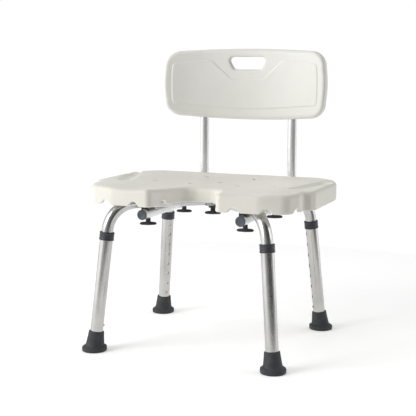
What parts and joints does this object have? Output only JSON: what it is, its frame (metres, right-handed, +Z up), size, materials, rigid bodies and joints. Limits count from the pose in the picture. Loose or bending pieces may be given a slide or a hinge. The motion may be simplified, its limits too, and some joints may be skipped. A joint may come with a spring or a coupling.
{
  "type": "shower chair",
  "caption": "Height-adjustable shower chair: moulded seat with a front recess, backrest with a hand slot, and splayed telescopic legs with rubber feet.",
  "frame": {"origin": "on the floor, at the middle of the chair's box in X and Y", "axes": "+Z up; the sitter looks along -Y; +X is the sitter's left"},
  "size_m": [0.516, 0.4644, 0.6606],
  "materials": {
    "seat_plastic": "satin ivory blow-moulded polyethylene",
    "backrest_plastic": "satin off-white blow-moulded polyethylene",
    "anodised_tube": "satin clear-anodised",
    "anodised_leg": "satin clear-anodised, drawn along its length",
    "cap_plastic": "blue-grey moulded plastic",
    "collar_plastic": "dark grey moulded plastic",
    "black_plastic": "black moulded plastic",
    "foot_rubber": "matt dark grey rubber",
    "button_brass": "worn brass",
    "insert_brass": "turned brass",
    "spring_steel": "bare spring steel",
    "washer_steel": "zinc-plated steel",
    "bolt_steel": "zinc-plated steel",
    "screw_steel": "bright zinc-plated steel"
  },
  "bodies": {
    "seat_frame": {"seat_board": "seat_plastic", "backrest_panel": "backrest_plastic", "cross_tube_upper": "anodised_tube", "cross_tube_lower": "anodised_tube", "back_tube_left": "anodised_tube", "back_tube_right": "anodised_tube", "tube_cap_left": "cap_plastic", "tube_cap_right": "cap_plastic", "seat_inserts": "insert_brass", "backrest_screws": "screw_steel", "centre_spacer": "black_plastic", "tube_saddle_front_left": "black_plastic", "button_spring_front_left": "spring_steel", "tube_saddle_front_right": "black_plastic", "button_spring_front_right": "spring_steel", "tube_saddle_back_left": "black_plastic", "button_spring_back_left": "spring_steel", "tube_saddle_back_right": "black_plastic", "button_spring_back_right": "spring_steel"},
    "leg_front_left": {"leg_tube_front_left": "anodised_leg", "leg_collar_front_left": "collar_plastic", "rubber_foot_front_left": "foot_rubber", "foot_washer_front_left": "washer_steel"},
    "button_front_left": {"snap_button_front_left": "button_brass"},
    "leg_front_right": {"leg_tube_front_right": "anodised_leg", "leg_collar_front_right": "collar_plastic", "rubber_foot_front_right": "foot_rubber", "foot_washer_front_right": "washer_steel"},
    "button_front_right": {"snap_button_front_right": "button_brass"},
    "leg_back_left": {"leg_tube_back_left": "anodised_leg", "leg_collar_back_left": "collar_plastic", "rubber_foot_back_left": "foot_rubber", "foot_washer_back_left": "washer_steel"},
    "button_back_left": {"snap_button_back_left": "button_brass"},
    "leg_back_right": {"leg_tube_back_right": "anodised_leg", "leg_collar_back_right": "collar_plastic", "rubber_foot_back_right": "foot_rubber", "foot_washer_back_right": "washer_steel"},
    "button_back_right": {"snap_button_back_right": "button_brass"},
    "knob_front_left": {"wing_knob_front_left": "black_plastic", "knob_bolt_front_left": "bolt_steel"},
    "knob_front_right": {"wing_knob_front_right": "black_plastic", "knob_bolt_front_right": "bolt_steel"},
    "knob_back_left": {"wing_knob_back_left": "black_plastic", "knob_bolt_back_left": "bolt_steel"},
    "knob_back_right": {"wing_knob_back_right": "black_plastic", "knob_bolt_back_right": "bolt_steel"},
    "knob_centre": {"wing_knob_centre": "black_plastic", "knob_bolt_centre": "bolt_steel"}
  },
  "joints": [
    {"name": "leg_front_left_slide", "type": "slide", "parent": "seat_frame", "child": "leg_front_left", "axis": [0.0894, -0.0794, -0.9928], "range_m": [0, 0.1778], "deforming": ["snap_button_front_left"]},
    {"name": "button_front_left_press", "type": "slide", "parent": "seat_frame", "child": "button_front_left", "axis": [0.7424, -0.6592, 0.1196], "range_m": [0, 0.004], "stiffness_N_per_m": 1500, "springref_m": -0.003, "deforming": ["button_spring_front_left"]},
    {"name": "leg_front_right_slide", "type": "slide", "parent": "seat_frame", "child": "leg_front_right", "axis": [-0.0894, -0.0794, -0.9928], "range_m": [0, 0.1778], "deforming": ["snap_button_front_right"]},
    {"name": "button_front_right_press", "type": "slide", "parent": "seat_frame", "child": "button_front_right", "axis": [-0.7424, -0.6592, 0.1196], "range_m": [0, 0.004], "stiffness_N_per_m": 1500, "springref_m": -0.003, "deforming": ["button_spring_front_right"]},
    {"name": "leg_back_left_slide", "type": "slide", "parent": "seat_frame", "child": "leg_back_left", "axis": [0.0894, 0.0794, -0.9928], "range_m": [0, 0.1778], "deforming": ["snap_button_back_left"]},
    {"name": "button_back_left_press", "type": "slide", "parent": "seat_frame", "child": "button_back_left", "axis": [0.7424, 0.6592, 0.1196], "range_m": [0, 0.004], "stiffness_N_per_m": 1500, "springref_m": -0.003, "deforming": ["button_spring_back_left"]},
    {"name": "leg_back_right_slide", "type": "slide", "parent": "seat_frame", "child": "leg_back_right", "axis": [-0.0894, 0.0794, -0.9928], "range_m": [0, 0.1778], "deforming": ["snap_button_back_right"]},
    {"name": "button_back_right_press", "type": "slide", "parent": "seat_frame", "child": "button_back_right", "axis": [-0.7424, 0.6592, 0.1196], "range_m": [0, 0.004], "stiffness_N_per_m": 1500, "springref_m": -0.003, "deforming": ["button_spring_back_right"]},
    {"name": "knob_front_left_turn", "type": "hinge", "parent": "seat_frame", "child": "knob_front_left", "pos_m": [0.1134, -0.12249, 0.28], "axis": [0, 0, 1], "continuous": true},
    {"name": "knob_front_right_turn", "type": "hinge", "parent": "seat_frame", "child": "knob_front_right", "pos_m": [-0.1134, -0.12249, 0.28], "axis": [0, 0, 1], "continuous": true},
    {"name": "knob_back_left_turn", "type": "hinge", "parent": "seat_frame", "child": "knob_back_left", "pos_m": [0.1134, 0.07887, 0.28], "axis": [0, 0, 1], "continuous": true},
    {"name": "knob_back_right_turn", "type": "hinge", "parent": "seat_frame", "child": "knob_back_right", "pos_m": [-0.1134, 0.07887, 0.28], "axis": [0, 0, 1], "continuous": true},
    {"name": "knob_centre_turn", "type": "hinge", "parent": "seat_frame", "child": "knob_centre", "pos_m": [0, -0.02181, 0.28], "axis": [0, 0, 1], "continuous": true}
  ]
}
